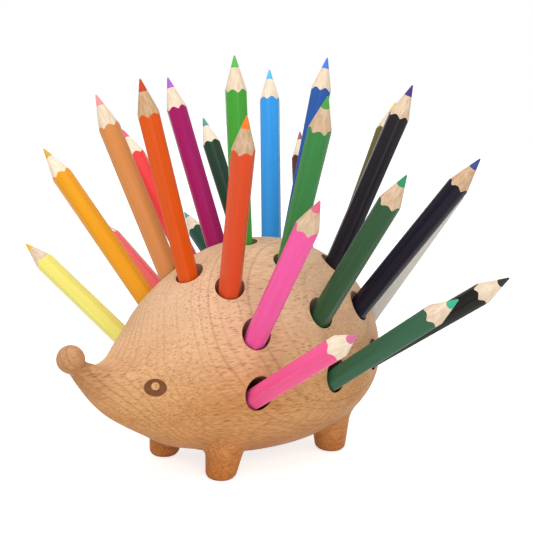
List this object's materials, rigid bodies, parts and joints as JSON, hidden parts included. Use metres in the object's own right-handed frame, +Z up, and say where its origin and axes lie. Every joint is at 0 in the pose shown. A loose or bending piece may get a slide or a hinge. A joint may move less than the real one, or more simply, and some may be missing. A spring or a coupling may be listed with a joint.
{
  "type": "pen holder",
  "caption": "Carved beech hedgehog desk pen holder: a solid body on four short feet, drilled all over its back for hexagonal coloured pencils that stand out as its spines.",
  "frame": {"origin": "on the table between the four feet, under the middle of the hedgehog and its pencils", "axes": "-X points to the nose and +X to the rump, -Y is the hedgehog's left flank, +Z is up"},
  "size_m": [0.1517, 0.179, 0.143],
  "materials": {
    "beech": "oiled, satin",
    "orange_paint": "gloss lacquer",
    "orange_pigment": "waxy, matt",
    "vermilion_paint": "gloss lacquer",
    "vermilion_pigment": "waxy, matt",
    "ochre_paint": "gloss lacquer",
    "ochre_pigment": "waxy, matt",
    "pink_paint": "gloss lacquer",
    "pink_pigment": "waxy, matt",
    "golden_paint": "gloss lacquer",
    "golden_pigment": "waxy, matt",
    "rose_paint": "gloss lacquer",
    "rose_pigment": "waxy, matt",
    "lemon_paint": "gloss lacquer",
    "lemon_pigment": "waxy, matt",
    "light_green_paint": "gloss lacquer",
    "light_green_pigment": "waxy, matt",
    "green_paint": "gloss lacquer",
    "green_pigment": "waxy, matt",
    "magenta_paint": "gloss lacquer",
    "magenta_pigment": "waxy, matt",
    "dark_green_paint": "gloss lacquer",
    "dark_green_pigment": "waxy, matt",
    "red_paint": "gloss lacquer",
    "red_pigment": "waxy, matt",
    "fir_green_paint": "gloss lacquer",
    "fir_green_pigment": "waxy, matt",
    "salmon_paint": "gloss lacquer",
    "salmon_pigment": "waxy, matt",
    "blue_paint": "gloss lacquer",
    "blue_pigment": "waxy, matt",
    "violet_paint": "gloss lacquer",
    "violet_pigment": "waxy, matt",
    "sky_blue_paint": "gloss lacquer",
    "sky_blue_pigment": "waxy, matt",
    "navy_paint": "gloss lacquer",
    "navy_pigment": "waxy, matt",
    "bottle_green_paint": "gloss lacquer",
    "bottle_green_pigment": "waxy, matt",
    "black_paint": "gloss lacquer",
    "black_pigment": "waxy, matt",
    "teal_paint": "gloss lacquer",
    "teal_pigment": "waxy, matt",
    "olive_paint": "gloss lacquer",
    "olive_pigment": "waxy, matt",
    "white_paint": "gloss lacquer",
    "white_pigment": "waxy, matt",
    "brown_paint": "gloss lacquer",
    "brown_pigment": "waxy, matt"
  },
  "bodies": {
    "hedgehog": {"hedgehog_body": "beech"},
    "orange_pencil": {"orange_pencil_wood": "orange_paint", "orange_pencil_lead": "orange_pigment"},
    "vermilion_pencil": {"vermilion_pencil_wood": "vermilion_paint", "vermilion_pencil_lead": "vermilion_pigment"},
    "ochre_pencil": {"ochre_pencil_wood": "ochre_paint", "ochre_pencil_lead": "ochre_pigment"},
    "pink_pencil": {"pink_pencil_wood": "pink_paint", "pink_pencil_lead": "pink_pigment"},
    "golden_pencil": {"golden_pencil_wood": "golden_paint", "golden_pencil_lead": "golden_pigment"},
    "rose_pencil": {"rose_pencil_wood": "rose_paint", "rose_pencil_lead": "rose_pigment"},
    "lemon_pencil": {"lemon_pencil_wood": "lemon_paint", "lemon_pencil_lead": "lemon_pigment"},
    "light_green_pencil": {"light_green_pencil_wood": "light_green_paint", "light_green_pencil_lead": "light_green_pigment"},
    "green_pencil": {"green_pencil_wood": "green_paint", "green_pencil_lead": "green_pigment"},
    "magenta_pencil": {"magenta_pencil_wood": "magenta_paint", "magenta_pencil_lead": "magenta_pigment"},
    "dark_green_pencil": {"dark_green_pencil_wood": "dark_green_paint", "dark_green_pencil_lead": "dark_green_pigment"},
    "red_pencil": {"red_pencil_wood": "red_paint", "red_pencil_lead": "red_pigment"},
    "fir_green_pencil": {"fir_green_pencil_wood": "fir_green_paint", "fir_green_pencil_lead": "fir_green_pigment"},
    "salmon_pencil": {"salmon_pencil_wood": "salmon_paint", "salmon_pencil_lead": "salmon_pigment"},
    "blue_pencil": {"blue_pencil_wood": "blue_paint", "blue_pencil_lead": "blue_pigment"},
    "violet_pencil": {"violet_pencil_wood": "violet_paint", "violet_pencil_lead": "violet_pigment"},
    "sky_blue_pencil": {"sky_blue_pencil_wood": "sky_blue_paint", "sky_blue_pencil_lead": "sky_blue_pigment"},
    "navy_pencil": {"navy_pencil_wood": "navy_paint", "navy_pencil_lead": "navy_pigment"},
    "bottle_green_pencil": {"bottle_green_pencil_wood": "bottle_green_paint", "bottle_green_pencil_lead": "bottle_green_pigment"},
    "black_pencil": {"black_pencil_wood": "black_paint", "black_pencil_lead": "black_pigment"},
    "teal_pencil": {"teal_pencil_wood": "teal_paint", "teal_pencil_lead": "teal_pigment"},
    "olive_pencil": {"olive_pencil_wood": "olive_paint", "olive_pencil_lead": "olive_pigment"},
    "white_pencil": {"white_pencil_wood": "white_paint", "white_pencil_lead": "white_pigment"},
    "brown_pencil": {"brown_pencil_wood": "brown_paint", "brown_pencil_lead": "brown_pigment"}
  },
  "joints": [
    {"name": "orange_pencil_draw", "type": "slide", "parent": "hedgehog", "child": "orange_pencil", "axis": [-0.3007, 0.0333, 0.9531], "range_m": [0, 0.02]},
    {"name": "vermilion_pencil_draw", "type": "slide", "parent": "hedgehog", "child": "vermilion_pencil", "axis": [-0.2672, -0.3688, 0.8903], "range_m": [0, 0.02]},
    {"name": "ochre_pencil_draw", "type": "slide", "parent": "hedgehog", "child": "ochre_pencil", "axis": [-0.2504, 0.3311, 0.9098], "range_m": [0, 0.02]},
    {"name": "pink_pencil_draw", "type": "slide", "parent": "hedgehog", "child": "pink_pencil", "axis": [-0.2419, -0.6172, 0.7487], "range_m": [0, 0.02]},
    {"name": "golden_pencil_draw", "type": "slide", "parent": "hedgehog", "child": "golden_pencil", "axis": [-0.2924, 0.5688, 0.7687], "range_m": [0, 0.02]},
    {"name": "rose_pencil_draw", "type": "slide", "parent": "hedgehog", "child": "rose_pencil", "axis": [-0.2335, -0.8335, 0.5008], "range_m": [0, 0.02]},
    {"name": "lemon_pencil_draw", "type": "slide", "parent": "hedgehog", "child": "lemon_pencil", "axis": [-0.2164, 0.8279, 0.5174], "range_m": [0, 0.02]},
    {"name": "light_green_pencil_draw", "type": "slide", "parent": "hedgehog", "child": "light_green_pencil", "axis": [-0.1045, 0, 0.9945], "range_m": [0, 0.02]},
    {"name": "green_pencil_draw", "type": "slide", "parent": "hedgehog", "child": "green_pencil", "axis": [-0.2079, -0.4288, 0.8792], "range_m": [0, 0.02]},
    {"name": "magenta_pencil_draw", "type": "slide", "parent": "hedgehog", "child": "magenta_pencil", "axis": [-0.1392, 0.3142, 0.9391], "range_m": [0, 0.02]},
    {"name": "dark_green_pencil_draw", "type": "slide", "parent": "hedgehog", "child": "dark_green_pencil", "axis": [-0.1219, -0.6111, 0.7821], "range_m": [0, 0.02]},
    {"name": "red_pencil_draw", "type": "slide", "parent": "hedgehog", "child": "red_pencil", "axis": [-0.1392, 0.568, 0.8112], "range_m": [0, 0.02]},
    {"name": "fir_green_pencil_draw", "type": "slide", "parent": "hedgehog", "child": "fir_green_pencil", "axis": [-0.0698, -0.8172, 0.5722], "range_m": [0, 0.02]},
    {"name": "salmon_pencil_draw", "type": "slide", "parent": "hedgehog", "child": "salmon_pencil", "axis": [-0.1822, 0.7801, 0.5986], "range_m": [0, 0.02]},
    {"name": "blue_pencil_draw", "type": "slide", "parent": "hedgehog", "child": "blue_pencil", "axis": [0.1822, -0.0257, 0.9829], "range_m": [0, 0.02]},
    {"name": "violet_pencil_draw", "type": "slide", "parent": "hedgehog", "child": "violet_pencil", "axis": [0.2079, -0.2778, 0.9379], "range_m": [0, 0.02]},
    {"name": "sky_blue_pencil_draw", "type": "slide", "parent": "hedgehog", "child": "sky_blue_pencil", "axis": [0.1478, 0.2309, 0.9617], "range_m": [0, 0.02]},
    {"name": "navy_pencil_draw", "type": "slide", "parent": "hedgehog", "child": "navy_pencil", "axis": [0.1736, -0.5649, 0.8067], "range_m": [0, 0.02]},
    {"name": "bottle_green_pencil_draw", "type": "slide", "parent": "hedgehog", "child": "bottle_green_pencil", "axis": [0.0349, 0.5222, 0.8521], "range_m": [0, 0.02]},
    {"name": "black_pencil_draw", "type": "slide", "parent": "hedgehog", "child": "black_pencil", "axis": [0.0436, -0.8233, 0.5659], "range_m": [0, 0.02]},
    {"name": "teal_pencil_draw", "type": "slide", "parent": "hedgehog", "child": "teal_pencil", "axis": [0.0698, 0.8172, 0.5722], "range_m": [0, 0.02]},
    {"name": "olive_pencil_draw", "type": "slide", "parent": "hedgehog", "child": "olive_pencil", "axis": [0.3827, -0.0322, 0.9233], "range_m": [0, 0.02]},
    {"name": "white_pencil_draw", "type": "slide", "parent": "hedgehog", "child": "white_pencil", "axis": [0.284, -0.4353, 0.8543], "range_m": [0, 0.02]},
    {"name": "brown_pencil_draw", "type": "slide", "parent": "hedgehog", "child": "brown_pencil", "axis": [0.2672, 0.3765, 0.887], "range_m": [0, 0.02]}
  ]
}
